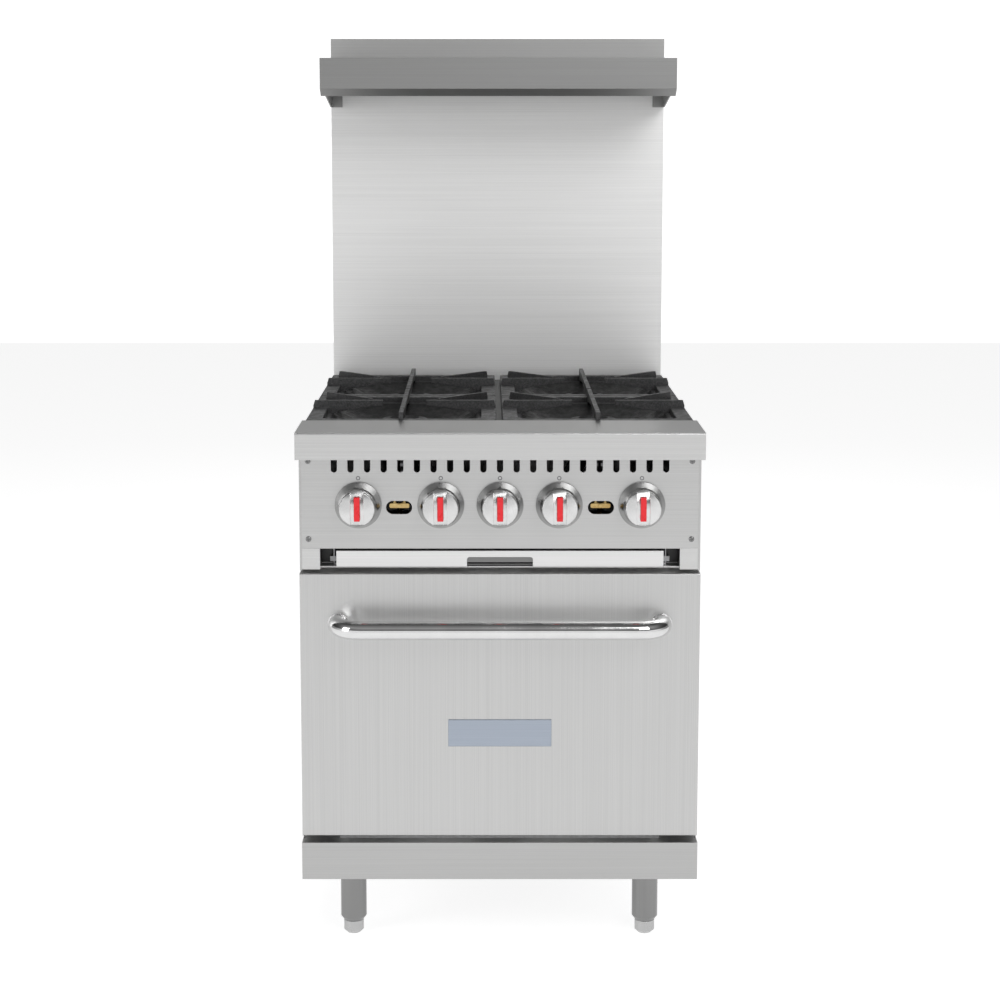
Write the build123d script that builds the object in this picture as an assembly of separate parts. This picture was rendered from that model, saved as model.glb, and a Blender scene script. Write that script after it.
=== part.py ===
from build123d import *
import os
from math import cos, radians, sin

# ---------------------------------------------------------------------------
# A four-burner commercial gas range with an oven below and a high shelf above.
# Millimetres. +Z is up, +X is to the right of a person facing the range, and
# the front of the range faces -Y. The origin is on the floor, in the middle of
# the range's outer box.
# ---------------------------------------------------------------------------

# Driving dimensions
total_height = 1420.0
rail_width = 610.0
body_width = 601.0
handle_reach = 53.3          # from the front of the handle to the front of the rail
rail_to_backguard = 774.0    # from the front of the rail to the face of the backguard
backguard_depth = 50.0
inlet_reach = 18.0           # the gas inlet stands this far out of the rear panel
sheet = 1.5                  # stainless sheet
heavy_sheet = 2.5            # frames and brackets

# Planes from front to back
overall_depth = handle_reach + rail_to_backguard + backguard_depth + inlet_reach
rail_front = -overall_depth / 2 + handle_reach
door_face = rail_front + 7.0
panel_face = rail_front + 18.0
kick_face = rail_front - 2.0
rail_rear = rail_front + 139.0
backguard_face = rail_front + rail_to_backguard
body_rear = backguard_face + backguard_depth
inlet_end = body_rear + inlet_reach

# Levels from the floor up
base_bottom = 152.0
base_height = 26.0
kick_bottom = 128.0
kick_top = 185.5
door_bottom = 193.6
door_top = 600.0
ledge_top = 607.0
tray_bottom = 609.0
tray_top = 633.0
panel_bottom = 636.5
panel_top = 790.0
rail_bottom = 773.6
cooktop_top = 802.0
rail_top = 814.0

# Widths
half_body = body_width / 2
half_inside = half_body - sheet
half_rail = rail_width / 2
half_panel = 297.0
stile_width = 30.5

# Oven
door_depth = 50.0
frame_face = door_face + door_depth + 1.0
oven_half = 254.0
oven_floor_top = 222.0
oven_ceiling = 562.0
oven_back = 280.0
flue_half = 150.0
flue_mouth = 500.0
rack_levels = (300.0, 400.0, 500.0)

# Door, handle and hinge
hinge_y = door_face + 12.0
hinge_z = door_bottom + 7.4
pin_radius = 4.0
running_gap = 0.05
ear_x = 268.0                # middle of each hinge ear
handle_x = 243.2
handle_level = 524.0
handle_radius = 14.3

# Crumb tray
tray_width = 491.0
notch_width = 99.0
notch_height = 14.5

# Controls
knob_level = 703.0
knob_places = (-212.0, -88.5, 0.0, 88.5, 212.0)
knob_reach = 40.0
channel_radius = 45.0        # the knob's channel has a rounded floor
stem_radius = 4.0
vent_count = 21
vent_pitch = 24.8
vent_width = 9.3
vent_bottom = 752.0
pilot_x = 151.0
pilot_level = 699.0
screw_x = 287.0
screw_levels = (651.0, 769.2)

# Gas pipe
manifold_y = panel_face + 52.0
manifold_level = 672.0
manifold_left = -262.0
manifold_run_x = 276.0
pipe_radius = 13.35          # 3/4 inch pipe

# Burners and grates
grate_width = 295.0
grate_depth = 303.0
grate_gap = 10.0
finger_top = 826.0
finger_gap = 35.0            # from the end of a side finger to the burner's centre
corner_finger = 118.0
bowl_foot = 68.0             # half the width of the bowl's open middle
bowl_hole_level = 780.0
burner_radius = 44.0
port_count = 24
burner_half_pitch = (grate_width + grate_gap) / 2
front_grate_y = rail_rear + 1.0 + grate_depth / 2
rear_grate_y = front_grate_y + grate_depth + 2.0

# Legs
leg_x = 230.0
leg_places = (rail_front + 115.5, body_rear - 100)
leg_radius = 20.3
foot_radius = 15.5
foot_height = 21.0
stem_bore = 9.6

# High shelf
shelf_front = backguard_face - 250.0
shelf_top = 1378.5
half_shelf = 302.0


def block(x0, x1, y0, y1, z0, z1):
    """A box between two opposite corners."""
    centre = ((x0 + x1) / 2, (y0 + y1) / 2, (z0 + z1) / 2)
    return Pos(*centre) * Box(abs(x1 - x0), abs(y1 - y0), abs(z1 - z0))


def wide_block(half, y0, y1, z0, z1):
    """A box centred on X."""
    return block(-half, half, y0, y1, z0, z1)


def rod(start, end, radius):
    """A round bar between two points."""
    axis = Vector(*end) - Vector(*start)
    plane = Plane(origin=start, z_dir=axis)
    return plane * Cylinder(radius, axis.length, align=(Align.CENTER, Align.CENTER, Align.MIN))


def rod_x(x0, x1, y, z, radius):
    return rod((x0, y, z), (x1, y, z), radius)


def rod_y(x, y0, y1, z, radius):
    return rod((x, y0, z), (x, y1, z), radius)


def rod_z(x, y, z0, z1, radius):
    return rod((x, y, z0), (x, y, z1), radius)


def pan(half, y0, y1, z0, z1, thick):
    """A box open at the back: a front plate with four returned sides."""
    inside = wide_block(half - thick, y0 + thick, y1 + 1, z0 + thick, z1 - thick)
    return wide_block(half, y0, y1, z0, z1) - inside


def plate_yz(points, x0, x1):
    """A flat plate across X whose outline is given as (y, z) points."""
    outline = Plane.YZ.offset(x0) * Polygon(*points, align=None)
    return extrude(outline, x1 - x0)


def upright_slot(x, z_low, z_high, width, y0, y1):
    """A cutter for a vertical slot through an upright sheet, round at its lower end."""
    radius = width / 2
    shank = block(x - radius, x + radius, y0, y1, z_low + radius, z_high)
    return shank + rod_y(x, y0, y1, z_low + radius, radius)


def level_slot(x, z, length, height, y0, y1):
    """A cutter for a horizontal oblong hole through an upright sheet."""
    radius = height / 2
    reach = length / 2 - radius
    middle = block(x - reach, x + reach, y0, y1, z - radius, z + radius)
    return middle + rod_y(x - reach, y0, y1, z, radius) + rod_y(x + reach, y0, y1, z, radius)


def fuse(pieces):
    """Several overlapping shapes as one."""
    whole = pieces[0]
    return whole.fuse(*pieces[1:]) if len(pieces) > 1 else whole


def cut(shape, cutters):
    """Remove several cutters in one step."""
    return shape.cut(*cutters) if cutters else shape


def group(pieces):
    """Separate solids that share a node."""
    solids = [solid for piece in pieces for solid in piece.solids()]
    return Compound(children=solids)


def mirrored(shape):
    """The same piece on the other side of the range."""
    return shape.mirror(Plane.YZ)


# ---------------------------------------------------------------------------
# Chassis
# ---------------------------------------------------------------------------

def make_base_frame():
    """The bottom pan that the legs bolt to, with an air opening in the middle."""
    top = base_bottom + base_height
    outer = wide_block(half_inside, frame_face, body_rear - sheet, base_bottom, top)
    inner = wide_block(half_inside - heavy_sheet, frame_face + heavy_sheet,
                       body_rear - sheet - heavy_sheet, base_bottom + heavy_sheet, top + 1)
    air = wide_block(150, frame_face + 120, body_rear - 280, base_bottom - 1, top)
    return cut(outer, [inner, air])


def make_kick_panel():
    """The panel that hangs under the door, with a top return and two side returns."""
    rear = frame_face + 30
    outer = wide_block(half_body, kick_face, rear, kick_bottom, kick_top)
    inner = wide_block(half_inside, kick_face + sheet, rear + 1, kick_bottom - 1, kick_top - sheet)
    top_window = wide_block(half_inside, kick_face + 22, rear + 1, kick_top - 5, kick_top + 1)
    top_sides = [block(side * 280, side * (half_body + 1), frame_face - 14, rear + 1,
                       base_bottom - 1, kick_top + 1) for side in (-1, 1)]
    return cut(outer, [inner, top_window] + top_sides)


def make_side_panel(side):
    """A side sheet: full depth above the door, and back to the front frame beside it."""
    outline = [
        (frame_face, base_bottom), (body_rear, base_bottom), (body_rear, cooktop_top - 4),
        (panel_face, cooktop_top - 4), (panel_face, ledge_top - 4), (frame_face, ledge_top - 4),
    ]
    sheet_plate = plate_yz(outline, half_inside, half_body)
    hem = block(half_body - 3.5, half_inside, panel_face, panel_face + 14, ledge_top - 4, cooktop_top - 4)
    right = fuse([sheet_plate, hem])
    return right if side > 0 else mirrored(right)


def make_rear_panel():
    """The back sheet with cooling louvres and a hole for the gas inlet."""
    plate = wide_block(half_inside, body_rear - sheet, body_rear, base_bottom, cooktop_top - 4)
    louvres = [level_slot(x, z, 90, 6, body_rear - 5, body_rear + 5)
               for z in (620, 636, 652) for x in (-180, 0, 180)]
    inlet = rod_y(manifold_run_x, body_rear - 5, body_rear + 5, manifold_level, 24)
    return cut(plate, louvres + [inlet])


def make_front_frame():
    """The ring around the oven mouth, the ledge over the door and the two stiles."""
    plate = wide_block(half_inside, frame_face, frame_face + heavy_sheet, base_bottom + base_height,
                       ledge_top)
    mouth = wide_block(oven_half, frame_face - 5, frame_face + 10, oven_floor_top, oven_ceiling)
    low_window = wide_block(oven_half - 20, frame_face - 5, frame_face + 10,
                            base_bottom + base_height - 1, oven_floor_top - 12)
    ledge = wide_block(half_inside, panel_face + 14, frame_face + 1, ledge_top - heavy_sheet, ledge_top)
    ring = cut(plate, [mouth, low_window])
    pieces = [ring, ledge]
    for side in (-1, 1):
        inner = half_body - stile_width
        face = block(side * inner, side * (half_inside - 2), panel_face, panel_face + heavy_sheet,
                     ledge_top - heavy_sheet, panel_bottom)
        web = block(side * inner, side * (inner + 2), panel_face, panel_face + 40,
                    ledge_top - heavy_sheet, panel_bottom)
        foot = block(side * inner, side * (half_inside - 2), panel_face, panel_face + 15,
                     ledge_top - heavy_sheet, ledge_top)
        shield = block(side * 254, side * half_inside, frame_face, frame_face + heavy_sheet,
                       ledge_top - 1, manifold_level - pipe_radius - 2)
        pieces += [face, web, foot, shield]
    return fuse(pieces)


def make_cooktop_frame():
    """The open frame that the grates rest on."""
    low = cooktop_top - 4
    outer = wide_block(half_rail - 2.5, rail_rear, backguard_face, low, cooktop_top)
    bar = 18
    split = (front_grate_y + rear_grate_y) / 2
    windows = []
    for side in (-1, 1):
        for y0, y1 in ((rail_rear + bar, split - bar), (split + bar, backguard_face - bar)):
            windows.append(block(side * 16, side * (half_inside - 22), y0, y1, low - 1, cooktop_top + 1))
    plate = cut(outer, windows)
    ribs = [wide_block(half_inside - 4, y, y + heavy_sheet, low - 24, low)
            for y in (rail_rear, backguard_face - heavy_sheet)]
    ribs += [block(side * (half_inside - 6), side * (half_inside - 4), rail_rear, backguard_face,
                   low - 24, low) for side in (-1, 1)]
    return fuse([plate] + ribs)


def make_front_rail():
    """The landing rail: a folded channel with closed ends and a rounded top edge."""
    outer = wide_block(half_rail, rail_front, rail_rear, rail_bottom, rail_top)
    front_top = outer.edges().filter_by(Axis.X).group_by(Axis.Y)[0].sort_by(Axis.Z)[-1]
    outer = fillet(front_top, 2.4)
    wall = 2.0
    hollow = wide_block(half_rail - wall, rail_front + wall, rail_rear + 1,
                        rail_bottom + wall, rail_top - wall)
    bottom = wide_block(half_rail - wall, panel_face, rail_rear + 1, rail_bottom - 1, rail_bottom + 3)
    body_notch = [block(side * (half_body - 6), side * (half_rail + 1), panel_face, rail_rear + 1,
                        rail_bottom - 1, cooktop_top) for side in (-1, 1)]
    return cut(outer, [hollow, bottom] + body_notch)


def make_control_panel():
    """The upright panel with its vent slots, pilot openings, stem holes and screw holes."""
    back = panel_face + sheet
    face = wide_block(half_panel, panel_face, back, panel_bottom, panel_top)
    lip = wide_block(half_panel, panel_face, panel_face + 16, panel_bottom, panel_bottom + sheet)
    y0, y1 = panel_face - 5, panel_face + 5
    cutters = [upright_slot((i - (vent_count - 1) / 2) * vent_pitch, vent_bottom, panel_top - 6,
                            vent_width, y0, y1) for i in range(vent_count)]
    cutters += [level_slot(side * pilot_x, pilot_level, 39, 20, y0, y1) for side in (-1, 1)]
    cutters += [rod_y(x, y0, y1, knob_level, 6) for x in knob_places]
    cutters += [rod_y(side * screw_x, y0, y1, z, 2.5) for side in (-1, 1) for z in screw_levels]
    return cut(fuse([face, lip]), cutters)


def make_panel_screws():
    """Four pan-head screws that hold the control panel."""
    screws = []
    for side in (-1, 1):
        for z in screw_levels:
            head = rod_y(side * screw_x, panel_face - 2.4, panel_face, z, 4.2)
            head = fillet(head.edges().sort_by(Axis.Y)[0], 1.4)
            recess = Pos(side * screw_x, panel_face - 2, z) * Box(4.4, 2.2, 1.0)
            cross = Pos(side * screw_x, panel_face - 2, z) * Box(1.0, 2.2, 4.4)
            shank = rod_y(side * screw_x, panel_face - 0.5, panel_face + 12, z, 2.4)
            screws.append(cut(fuse([head, shank]), [recess, cross]))
    return group(screws)


def make_tray_rails():
    """Two angle runners that carry the crumb tray."""
    rails = []
    for side in (-1, 1):
        wall = block(side * 250, side * 252, panel_face + 30, backguard_face - 60, tray_bottom - 2, 640)
        shelf = block(side * 232, side * 252, panel_face + 30, backguard_face - 60, ledge_top,
                      tray_bottom - 0.4)
        lug = block(side * 247, side * 257, panel_face + 30, panel_face + 32,
                    tray_bottom + 2, tray_bottom + 10)
        rails.append(fuse([wall, shelf, lug]))
    return group(rails)


def make_leg_tubes():
    """Four leg tubes with a top flange and a tapered lower end, bored for the foot's stem."""
    legs = []
    for x in (-leg_x, leg_x):
        for y in leg_places:
            flange = block(x - 42, x + 42, y - 42, y + 42, base_bottom - 5, base_bottom)
            tube = rod_z(x, y, 28, base_bottom, leg_radius)
            taper = Pos(x, y, foot_height + 3.65) * Cone(foot_radius, leg_radius, 7.3 - 0.6)
            bore = rod_z(x, y, 0, base_bottom - 20, stem_bore)
            legs.append(cut(fuse([flange, tube, taper]), [bore]))
    return group(legs)


def make_foot(x, y):
    """An adjustable foot: a chamfered disc on a threaded stem."""
    disc = rod_z(x, y, 0, foot_height, foot_radius)
    disc = chamfer(disc.edges().sort_by(Axis.Z)[0], 5)
    stem = rod_z(x, y, foot_height - 1, base_bottom - 50, stem_bore - 0.1)
    return fuse([disc, stem])


# ---------------------------------------------------------------------------
# Oven
# ---------------------------------------------------------------------------

def make_oven_liner():
    """The oven's inner box, open at the front and underneath."""
    outer = wide_block(oven_half + sheet, frame_face + heavy_sheet, oven_back + sheet,
                       base_bottom + base_height, oven_ceiling + sheet)
    inner = wide_block(oven_half, frame_face - 1, oven_back, base_bottom, oven_ceiling)
    flue = wide_block(flue_half - 4, oven_back - 5, oven_back + 5, flue_mouth + 4, flue_mouth + 56)
    return cut(outer, [inner, flue])


def make_oven_floor():
    """The removable deck over the oven burner, slotted along both sides."""
    plate = wide_block(oven_half - 0.5, frame_face + heavy_sheet, oven_back - 0.5,
                       oven_floor_top - 2, oven_floor_top)
    lips = [block(side * (oven_half - 2.5), side * (oven_half - 0.5), frame_face + heavy_sheet,
                  oven_back - 0.5, oven_floor_top - 14, oven_floor_top) for side in (-1, 1)]
    slots = [block(side * 222, side * 240, y, y + 70, oven_floor_top - 5, oven_floor_top + 5)
             for side in (-1, 1) for y in (-280, -180, -80, 20, 120)]
    return cut(fuse([plate] + lips), slots)


def make_oven_burner():
    """A straight tube burner under the deck with a row of ports on each side."""
    level = base_bottom + base_height + 18
    tube = rod_y(0, frame_face + 40, oven_back - 60, level, 19)
    bore = rod_y(0, frame_face + 39, oven_back - 66, level, 16.5)
    ports = [rod_x(-30, 30, y, level + 6, 2) for y in range(-240, 200, 40)]
    feet = [wide_block(40, y, y + 3, base_bottom + heavy_sheet, level) for y in (-270, 190)]
    air = wide_block(12, frame_face + 39, frame_face + 60, level - 30, level - 10)
    return cut(fuse([tube] + feet), [bore, air] + ports)


def make_rack_guides():
    """A wire ladder on each oven wall that carries the racks."""
    guides = []
    y0, y1 = frame_face + 30, oven_back - 30
    for side in (-1, 1):
        x = side * (oven_half - 3.2)
        wires = [rod_z(x, y, oven_floor_top + 10, oven_ceiling - 20, 3) for y in (y0, 0, y1)]
        for level in rack_levels:
            wires.append(rod_y(x - side * 6, y0 - 3, y1 + 3, level, 3))
            wires += [rod_x(x - side * 6, x, y, level, 2.4) for y in (y0, 0, y1)]
        guides.append(fuse(wires))
    return group(guides)


def make_oven_rack(level):
    """A wire oven rack resting on one pair of guide wires."""
    half = oven_half - 12
    y0, y1 = frame_face + 34, oven_back - 34
    z = level + 3 + 4.2
    frame = [rod_y(side * half, y0 - 3, y1 + 3, z, 4) for side in (-1, 1)]
    frame += [rod_x(-half - 3, half + 3, y, z, 4) for y in (y0, y1)]
    frame.append(rod_x(-half, half, (y0 + y1) / 2, z, 3))
    count = 15
    bars = [rod_y((i + 1) * 2 * half / (count + 1) - half, y0, y1, z + 2.2, 2.5) for i in range(count)]
    return fuse(frame + bars)


def make_oven_insulation():
    """Mineral wool over the top, the sides and the back of the oven liner."""
    gap = 0.5
    outer = wide_block(half_inside - 2, frame_face + 4, oven_back + 34,
                       base_bottom + base_height + 2, ledge_top - 4)
    inner = wide_block(oven_half + sheet + gap, frame_face, oven_back + sheet + gap,
                       base_bottom, oven_ceiling + sheet + gap)
    flue = wide_block(flue_half + 1, oven_back, oven_back + 40, flue_mouth - 1, flue_mouth + 61)
    return cut(outer, [inner, flue])


def make_flue_riser():
    """The duct that takes the oven's exhaust up inside the backguard."""
    wall = 1.2
    rear = body_rear - 6
    front = backguard_face + 6
    riser = wide_block(flue_half, front, rear, flue_mouth, total_height - 20)
    spout = wide_block(flue_half, oven_back + sheet, front + 5, flue_mouth, flue_mouth + 60)
    riser_bore = wide_block(flue_half - wall, front + wall, rear - wall, flue_mouth + wall, total_height)
    spout_bore = wide_block(flue_half - wall, oven_back, front + 10,
                            flue_mouth + wall, flue_mouth + 60 - wall)
    return cut(fuse([riser, spout]), [riser_bore, spout_bore])


# ---------------------------------------------------------------------------
# Backguard and high shelf
# ---------------------------------------------------------------------------

def make_backguard():
    """The tall splash back: a sheet box open underneath, with exhaust slots in its top."""
    bottom = cooktop_top - 4
    outer = wide_block(half_body, backguard_face, body_rear, bottom, total_height)
    inner = wide_block(half_body - sheet, backguard_face + sheet, body_rear - sheet,
                       bottom - 1, total_height - sheet)
    slots = [block(x - 26, x + 26, backguard_face + 14, body_rear - 14, total_height - 5, total_height + 5)
             for x in (-210, -140, -70, 0, 70, 140, 210)]
    return cut(outer, [inner] + slots)


def make_high_shelf():
    """The shelf: a top sheet, a deep front flange and a return folded down and back."""
    front = shelf_front
    flange_bottom = 1327
    outline = [
        (backguard_face, shelf_top), (front, shelf_top), (front, flange_bottom),
        (front + 22, flange_bottom - 12), (front + 22.5, flange_bottom - 10.5),
        (front + sheet, flange_bottom + 1), (front + sheet, shelf_top - sheet),
        (backguard_face, shelf_top - sheet),
    ]
    section = plate_yz(outline, -half_shelf, half_shelf)
    ends = [block(side * (half_shelf - sheet), side * half_shelf, front, backguard_face,
                  flange_bottom + 1, shelf_top) for side in (-1, 1)]
    return fuse([section] + ends)


def make_shelf_gussets():
    """Two triangular side plates that carry the shelf from the backguard."""
    outline = [
        (backguard_face, shelf_top - 4), (shelf_front + 8, shelf_top - 4), (shelf_front + 8, 1330),
        (backguard_face - 26, 1298), (backguard_face, 1298),
    ]
    gussets = []
    for side in (-1, 1):
        outer = half_shelf - sheet - 0.2
        web = plate_yz(outline, outer - 2, outer)
        tab = block(outer - 20, outer, backguard_face - 2.5, backguard_face, 1298, shelf_top - 4)
        piece = fuse([web, tab])
        gussets.append(piece if side > 0 else mirrored(piece))
    return group(gussets)


# ---------------------------------------------------------------------------
# Oven door
# ---------------------------------------------------------------------------

def hinge_pocket(side):
    """The space that a hinge ear sweeps inside the door."""
    x0, x1 = side * (ear_x - 6), side * (ear_x + 6)
    return block(x0, x1, hinge_y - 8, frame_face + 5, door_bottom - 2, hinge_z + 9)


def make_door_skin():
    """The outer pan of the door with soft front edges and the slots for the hinge ears."""
    skin = pan(half_body, door_face, door_face + 46, door_bottom, door_top, sheet)
    rim = skin.faces().sort_by(Axis.Y)[0].outer_wire().edges()
    skin = fillet(rim, 1.2)
    holes = [rod_y(side * handle_x, door_face - 1, door_face + 5, handle_level, 4.2) for side in (-1, 1)]
    return cut(skin, [hinge_pocket(side) for side in (-1, 1)] + holes)


def make_door_liner():
    """The inner panel with its raised plug."""
    back = door_face + 46
    plate = wide_block(half_body - 2, back - sheet, back, door_bottom + 2, door_top - 2)
    plug = wide_block(248, back - 0.5, door_face + door_depth, 228, 556)
    plug = fillet(plug.edges().filter_by(Axis.Y), 18)
    hollow = wide_block(246, back - 5, door_face + door_depth - sheet, 230, 554)
    hollow = fillet(hollow.edges().filter_by(Axis.Y), 16)
    return cut(fuse([plate, plug]), [hollow] + [hinge_pocket(side) for side in (-1, 1)])


def make_door_gasket():
    """The sealing ring around the plug."""
    back = door_face + 46
    outer = wide_block(266, back, frame_face - 0.3, 215, 572)
    inner = wide_block(256, back - 1, frame_face + 1, 225, 562)
    outer = fillet(outer.edges().filter_by(Axis.Y), 24)
    inner = fillet(inner.edges().filter_by(Axis.Y), 15)
    return cut(outer, [inner])


def make_door_insulation():
    """The wool slab inside the door, clear of the hinge arms and the handle screws."""
    slab = wide_block(half_body - 4, door_face + 3, door_face + 43, door_bottom + 4, door_top - 4)
    corners = [block(side * (ear_x - 30), side * (half_body + 1), door_face, frame_face,
                     door_bottom, hinge_z + 66) for side in (-1, 1)]
    posts = [rod_y(side * handle_x, door_face, door_face + 30, handle_level, 18) for side in (-1, 1)]
    return cut(slab, corners + posts)


def make_door_handle():
    """A bent tube whose ends go straight back into the door on two bosses."""
    y = door_face - 46
    bend = 38
    start = (-handle_x, door_face, handle_level)
    path = FilletPolyline(start, (-handle_x, y, handle_level), (handle_x, y, handle_level),
                          (handle_x, door_face, handle_level), radius=bend)
    section = Plane(origin=start, z_dir=(0, -1, 0)) * Circle(handle_radius)
    tube = sweep(section, path=path)
    flanges = [rod_y(side * handle_x, door_face - 1.5, door_face, handle_level, handle_radius + 1.2)
               for side in (-1, 1)]
    screws = [rod_y(side * handle_x, door_face - 1, door_face + sheet + 6, handle_level, 4)
              for side in (-1, 1)]
    return fuse([tube] + flanges + screws)


def make_door_badge():
    """A blank plate with bevelled edges on the door's face."""
    plate = wide_block(78, door_face - 1.6, door_face, 334, 376)
    rim = plate.faces().sort_by(Axis.Y)[0].edges()
    return chamfer(rim, 1.0)


def make_hinge_arms():
    """Two plates inside the door, one beside each hinge ear, that turn on the pins."""
    arms = []
    for side in (-1, 1):
        x0, x1 = side * (ear_x + 7.5), side * (ear_x + 12.5)
        plate = block(x0, x1, door_face + sheet, door_face + 42, door_bottom + sheet, hinge_z + 60)
        foot = block(x1, side * (half_body - 8), door_face + sheet, door_face + sheet + 3,
                     door_bottom + sheet, hinge_z + 60)
        hole = rod_x(x0 - 5, x0 + 5 + 10, hinge_y, hinge_z, pin_radius + running_gap)
        arms.append(cut(fuse([plate, foot]), [hole]))
    return group(arms)


def make_hinge_brackets():
    """Two blocks under the door, each with an ear and the pin that the door turns on."""
    brackets = []
    for side in (-1, 1):
        base = block(side * 245, side * (half_inside - 1), hinge_y - 4, frame_face,
                     base_bottom + base_height, kick_top - 2)
        stand = block(side * (ear_x - 5), side * (ear_x + 5), frame_face - 10, frame_face,
                      kick_top - 2.5, hinge_z + 5.5)
        ear = block(side * (ear_x - 5), side * (ear_x + 5), hinge_y, frame_face,
                    hinge_z - 5.5, hinge_z + 5.5)
        nose = rod_x(side * (ear_x - 5), side * (ear_x + 5), hinge_y, hinge_z, 5.5)
        pin = rod_x(side * (ear_x - 5), side * (ear_x + 16), hinge_y, hinge_z, pin_radius)
        brackets.append(fuse([base, stand, ear, nose, pin]))
    return group(brackets)


# ---------------------------------------------------------------------------
# Crumb tray
# ---------------------------------------------------------------------------

def make_crumb_tray():
    """The sliding pan under the burners, with a finger notch in its front."""
    half = tray_width / 2
    rear = backguard_face - 80
    front = wide_block(half, panel_face, panel_face + 12, tray_bottom, tray_top)
    notch = wide_block(notch_width / 2, panel_face - 1, panel_face + 13, tray_bottom - 1,
                       tray_bottom + notch_height)
    notch = fillet(notch.edges().filter_by(Axis.Y).group_by(Axis.Z)[-1], 4)
    hollow = wide_block(half - sheet, panel_face + sheet, panel_face + 13,
                        tray_bottom + sheet, tray_top - sheet)
    front = cut(front, [notch, hollow])
    cheeks = [block(side * notch_width / 2, side * (notch_width / 2 + 2), panel_face + 1,
                    panel_face + 11.5, tray_bottom, tray_bottom + notch_height) for side in (-1, 1)]
    roof = wide_block(notch_width / 2 + 1, panel_face + 1, panel_face + 11.5,
                      tray_bottom + notch_height, tray_bottom + notch_height + 2)
    strip = wide_block(notch_width / 2 + 1, panel_face + 8, panel_face + 11.5,
                       tray_bottom + 5, tray_bottom + notch_height + 1)
    outer = wide_block(half, panel_face + 11, rear, tray_bottom, tray_top - 3)
    inner = wide_block(half - sheet, panel_face + 12 + sheet, rear - sheet, tray_bottom + sheet, tray_top)
    slot = wide_block(notch_width / 2, panel_face + 10, panel_face + 14, tray_bottom - 1, tray_bottom + 5)
    return fuse([front, roof, strip] + cheeks + [cut(outer, [inner, slot])])


# ---------------------------------------------------------------------------
# Gas train
# ---------------------------------------------------------------------------

def make_manifold_pipe():
    """The gas pipe: across behind the panel, then along the right side to the rear inlet."""
    across = rod_x(manifold_left, manifold_run_x, manifold_y, manifold_level, pipe_radius)
    along = rod_y(manifold_run_x, manifold_y, inlet_end, manifold_level, pipe_radius)
    elbow = Pos(manifold_run_x, manifold_y, manifold_level) * Sphere(pipe_radius + 3)
    cap = rod_x(manifold_left - 4, manifold_left + 12, manifold_y, manifold_level, pipe_radius + 3)
    lock_nut = rod_y(manifold_run_x, body_rear - 14, body_rear - 2, manifold_level, pipe_radius + 6)
    bore = rod_y(manifold_run_x, manifold_y + 60, inlet_end + 1, manifold_level, pipe_radius - 2.9)
    return cut(fuse([across, along, elbow, cap, lock_nut]), [bore])


def valve_shape(x, reach):
    """A gas valve: body, inlet nipple into the manifold and orifice at the rear."""
    y = manifold_y
    body = block(x - 12, x + 12, y - 22, y + 14, knob_level - 13, knob_level + 13)
    body = chamfer(body.edges().filter_by(Axis.Y), 4)
    nose = rod_y(x, y - 32, y - 21, knob_level, 9)
    outlet = rod_y(x, y + 13, y + 14 + reach, knob_level, 6)
    nipple = rod_z(x, y, manifold_level + pipe_radius - 1.2, knob_level - 12, 7)
    bore = rod_y(x, y - 33, y - 10, knob_level, stem_radius + running_gap)
    return cut(fuse([body, nose, outlet, nipple]), [bore])


def make_burner_valves():
    return group([valve_shape(x, 12) for x in knob_places if x != 0])


def make_thermostat_valve():
    """The oven thermostat: a deeper body with its sensing bulb's tube connection."""
    y = manifold_y
    body = block(-24, 24, y - 18, y + 34, knob_level - 13, knob_level + 24)
    body = chamfer(body.edges().filter_by(Axis.Y), 3)
    nose = rod_y(0, y - 32, y - 17, knob_level, 11)
    outlet = rod_y(0, y + 33, y + 56, knob_level, 8)
    nipple = rod_z(0, y, manifold_level + pipe_radius - 1.2, knob_level - 12, 8)
    bore = rod_y(0, y - 33, y - 8, knob_level, stem_radius + running_gap)
    return cut(fuse([body, nose, outlet, nipple]), [bore])


def make_pilot_valves():
    """Two small brass valves with two screw posts each, seen through the oblong openings."""
    valves = []
    for side in (-1, 1):
        x, y, z = side * pilot_x, panel_face + 12, pilot_level
        body = block(x - 15, x + 15, y, y + 16, z - 3, z + 4)
        body = chamfer(body.edges().filter_by(Axis.Y), 1.5)
        posts = [rod_z(x + dx, y + 6, z + 3, z + 8.5, 3.0) for dx in (-7.5, 7.5)]
        collars = [rod_z(x + dx, y + 6, z + 3, z + 5.5, 4.8) for dx in (-7.5, 7.5)]
        screw = rod_y(x, y - 2.5, y + 1, z + 0.5, 3.0)
        link = rod((x, y + 12, z + 1), (x, manifold_y, manifold_level), 4)
        link = cut(link, [rod_x(x - 20, x + 20, manifold_y, manifold_level, pipe_radius - 0.5)])
        valves.append(fuse([body, screw, link] + posts + collars))
    return group(valves)


def make_pilot_tubes():
    """Bent tubes from the pilot valves to a pilot tip beside each burner."""
    tubes = []
    for side in (-1, 1):
        for burner_y, dx in ((front_grate_y, 9), (rear_grate_y, -12)):
            x = side * (pilot_x + dx)
            start = (x, panel_face + 28.2, pilot_level - 1)
            tip_y = burner_y - burner_radius - 12
            points = [start, (x, tip_y, pilot_level - 1), (x, tip_y, 782)]
            path = FilletPolyline(*points, radius=14)
            section = Plane(origin=start, z_dir=(0, 1, 0)) * Circle(2.2)
            tubes.append(sweep(section, path=path))
    return group(tubes)


def burner_centres():
    return [(x, y) for y in (front_grate_y, rear_grate_y)
            for x in (-burner_half_pitch, burner_half_pitch)]


def burner_throat(x, y):
    """Where a burner's venturi tube meets its valve: outer valves feed the rear burners."""
    valve_x = 212.0 if y == rear_grate_y else 88.5
    return (valve_x if x > 0 else -valve_x, manifold_y + 42, knob_level)


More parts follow.
